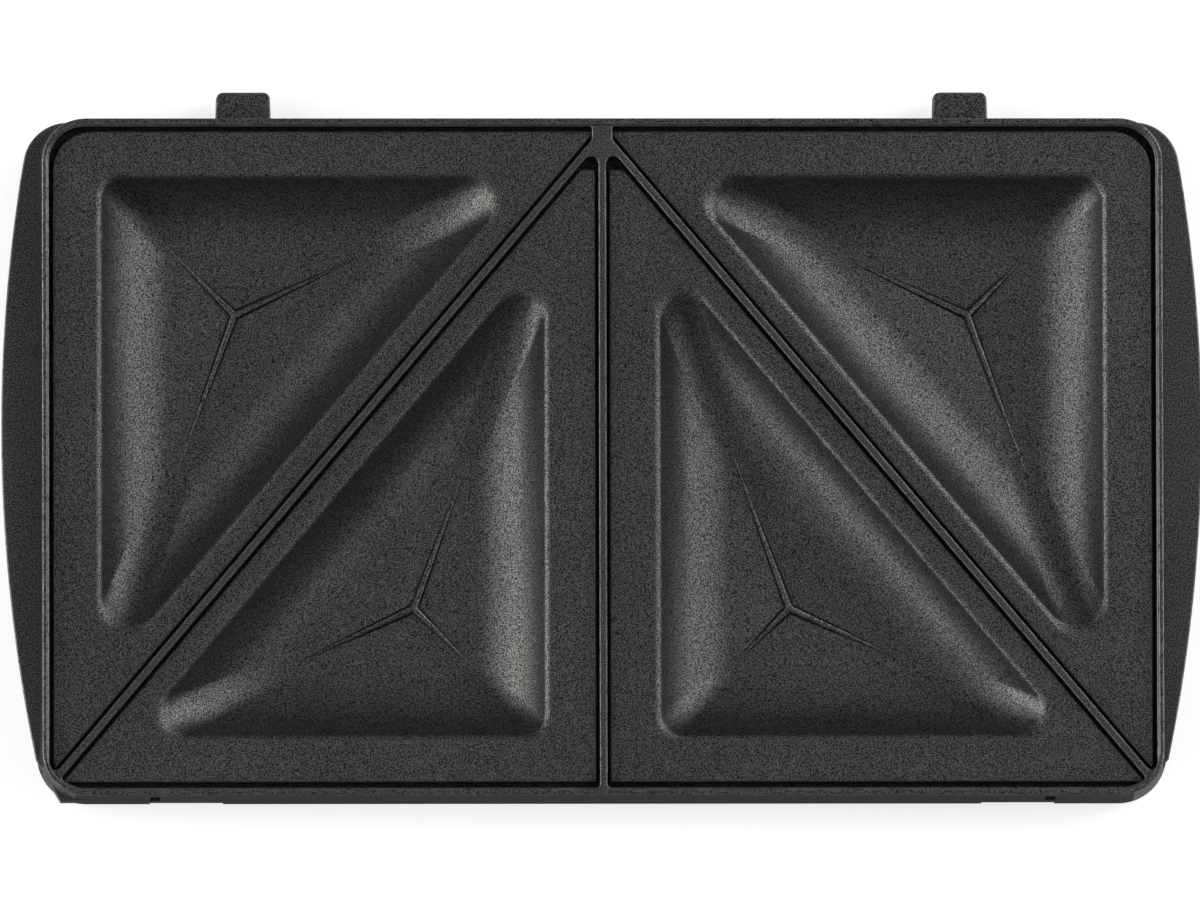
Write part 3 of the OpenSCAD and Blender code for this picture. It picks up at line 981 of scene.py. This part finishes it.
def mixColours(tree, share, first, second):
    values = {0: share, 6: first, 7: second}        # the mix node's factor and its two colours
    return addNode(tree, 'ShaderNodeMix', values, data_type='RGBA').outputs[2]


def faceMark(tree, name):
    return addNode(tree, 'ShaderNodeAttribute', attribute_name=name).outputs['Fac']


def buildCoating():
    material = bpy.data.materials.new('nonstickCoating')
    material.use_nodes = True
    tree = material.node_tree
    shader = tree.nodes['Principled BSDF']
    place = addNode(tree, 'ShaderNodeTexCoord').outputs['Object']
    edge, shadedHollow, wall = [faceMark(tree, name) for name in markNames]
    grain = placeGroup(tree, buildGrainGroup(), {
        'Vector': place, 'Size': coating['grainSize'], 'Contrast': coating['grainContrast']})
    uneven = placeGroup(tree, buildUnevenGroup(), {
        'Vector': place, 'Patch Size': coating['patchSize'], 'Peel Size': coating['peelSize']})
    wear = placeGroup(tree, buildWearGroup(), {
        'Vector': place, 'Edge': edge, 'Amount': coating['wear']})
    colour = mixColours(tree, grain['Grain'], (*coating['dark'], 1), (*coating['light'], 1))
    shade = addMath(tree, 'MULTIPLY', uneven['Patches'], coating['patchShade'])
    colour = mixColours(tree, shade, colour, (0, 0, 0, 1))
    colour = mixColours(tree, wear['Wear'], colour, (*coating['worn'], 1))
    # Painted shade: the outer walls, the grooves and the sides of the floor ribs are darkened
    # towards black
    shade = addMath(tree, 'MULTIPLY', wall, coating['wallShade'])
    shade = addMath(tree, 'MULTIPLY_ADD', shadedHollow, coating['hollowShade'], shade)
    colour = mixColours(tree, shade, colour, (0, 0, 0, 1))
    tree.links.new(colour, shader.inputs['Base Color'])
    spread = coating['roughnessSpread']
    varied = addMath(tree, 'MULTIPLY_ADD', grain['Grain'], -spread,
                     coating['roughness'] + spread / 2)
    varied = addMath(tree, 'MULTIPLY_ADD', uneven['Patches'],
                     coating['patchRoughness'] * spread, varied)
    varied = addMath(tree, 'MULTIPLY_ADD', wall, coating['wallRoughness'], varied)
    tree.links.new(varied, shader.inputs['Roughness'])
    shader.inputs['Metallic'].default_value = coating['metallic']
    shader.inputs['Specular Tint'].default_value = coating['edgeTint']
    height = addMath(tree, 'MULTIPLY', grain['Height'], coating['grainHeight'] * millimetre)
    peelHeight = coating['peelHeight'] * millimetre
    height = addMath(tree, 'MULTIPLY_ADD', uneven['Peel'], peelHeight, height)
    bump = addNode(tree, 'ShaderNodeBump', {'Height': height, 'Distance': 1.0, 'Strength': 1.0})
    tree.links.new(bump.outputs['Normal'], shader.inputs['Normal'])
    return material


casting.data.materials.clear()
casting.data.materials.append(buildCoating())
print('coating made')

camera = {
    'distance': 6.0,
    'lensPerMetre': 150.65,     # millimetres of focal length for each metre of distance
    'sensorWidth': 36,
    'target': (-0.00062, -0.00104, 0.015),
    'leanX': -1.6,          # degrees from straight above
    'leanY': -3.9,
    'roll': -0.14,
}
# Each stands at an azimuth and elevation, and covers so many degrees across and up
softboxes = {
    'distance': 1.4,
    'boxes': [
        {'azimuth': 15, 'elevation': 5, 'across': 60, 'up': 10, 'radiance': 6.8},
        {'azimuth': 30, 'elevation': 25, 'across': 30, 'up': 11, 'radiance': 9.2},
        {'azimuth': 0, 'elevation': 26, 'across': 30, 'up': 13, 'radiance': 4.8},
        {'azimuth': 30, 'elevation': 52, 'across': 30, 'up': 18, 'radiance': 6.8},
        {'azimuth': 60, 'elevation': 30, 'across': 30, 'up': 22, 'radiance': 2.1},
        {'azimuth': 180, 'elevation': 5, 'across': 30, 'up': 10, 'radiance': 11.8},
        {'azimuth': 195, 'elevation': 24, 'across': 60, 'up': 11, 'radiance': 8.8},
        {'azimuth': 210, 'elevation': 11, 'across': 30, 'up': 13, 'radiance': 3.8},
        {'azimuth': 180, 'elevation': 44, 'across': 30, 'up': 28, 'radiance': 3.3},
        {'azimuth': 150, 'elevation': 40, 'across': 30, 'up': 30, 'radiance': 1.7},
        {'azimuth': 345, 'elevation': 47, 'across': 60, 'up': 24, 'radiance': 1.35},
        {'azimuth': 240, 'elevation': 52, 'across': 30, 'up': 18, 'radiance': 1.6},
        {'azimuth': 270, 'elevation': 85, 'across': 160, 'up': 40, 'radiance': 0.28},
    ],
}
background = {
    'worldLevel': 0.05,
    'floorColour': (0.6, 0.6, 0.6, 1),
    'floorWhite': 0.55,     # added where the floor is seen
    'floorRoughness': 0.8,
    'floorSize': 6,
    'floorDrop': 0.00002,   # keeps it clear of the heater pads
}


def placeCamera():
    data = bpy.data.cameras.new('camera')
    data.lens = camera['lensPerMetre'] * camera['distance']
    data.sensor_width = camera['sensorWidth']
    view = bpy.data.objects.new('camera', data)
    bpy.context.scene.collection.objects.link(view)
    away = Vector((tan(radians(camera['leanX'])), tan(radians(camera['leanY'])), 1)).normalized()
    right = Vector((0, 1, 0)).cross(away).normalized()
    up = away.cross(right)
    roll = radians(camera['roll'])
    up, right = (cos(roll) * up - sin(roll) * right,
                 cos(roll) * right + sin(roll) * up)
    turn = Matrix((right, up, away)).transposed()
    view.rotation_euler = turn.to_euler()
    view.location = Vector(camera['target']) + away * camera['distance']
    bpy.context.scene.camera = view


def placeLights():
    distance = softboxes['distance']
    for box in softboxes['boxes']:
        azimuth, elevation = radians(box['azimuth']), radians(box['elevation'])
        level = cos(elevation)
        data = bpy.data.lights.new('softbox', 'AREA')
        data.shape = 'RECTANGLE'
        data.size = 2 * distance * level * tan(radians(box['across'] / 2))
        data.size_y = 2 * distance * tan(radians(box['up'] / 2))
        data.energy = box['radiance'] * pi * data.size * data.size_y
        lamp = bpy.data.objects.new('softbox', data)
        bpy.context.scene.collection.objects.link(lamp)
        away = Vector((cos(azimuth) * level, sin(azimuth) * level, sin(elevation)))
        lamp.location = away * distance
        lamp.rotation_euler = away.to_track_quat('Z', 'Y').to_euler()


# Strength that is one level for the eye, mirrors and glass, and another for the light on the object
def seenStrength(tree, seen, unseen):
    path = tree.nodes.new('ShaderNodeLightPath')
    ray = addMath(tree, 'ADD', path.outputs['Is Camera Ray'], path.outputs['Is Glossy Ray'])
    ray = addMath(tree, 'ADD', ray, path.outputs['Is Transmission Ray'])
    return addMath(tree, 'MULTIPLY_ADD', ray, seen - unseen, unseen)


def placeWorld():
    world = bpy.data.worlds.new('world')
    world.use_nodes = True
    sky = world.node_tree.nodes['Background']
    sky.inputs['Color'].default_value = (1, 1, 1, 1)
    sky.inputs['Strength'].default_value = background['worldLevel']
    bpy.context.scene.world = world


def placeFloor():
    clearSelection()
    bpy.ops.mesh.primitive_plane_add(size=background['floorSize'],
                                     location=(0, 0, -background['floorDrop']))
    floor = bpy.context.object
    floor.name = 'floor'
    material = bpy.data.materials.new('floor')
    material.use_nodes = True
    shader = material.node_tree.nodes['Principled BSDF']
    shader.inputs['Base Color'].default_value = background['floorColour']
    shader.inputs['Roughness'].default_value = background['floorRoughness']
    shader.inputs['Emission Color'].default_value = (1, 1, 1, 1)
    strength = seenStrength(material.node_tree, background['floorWhite'], 0)
    material.node_tree.links.new(strength, shader.inputs['Emission Strength'])
    floor.data.materials.append(material)


placeCamera()
placeLights()
placeWorld()
placeFloor()
bpy.context.scene.view_settings.view_transform = 'Standard'
print('camera, lights and floor placed')
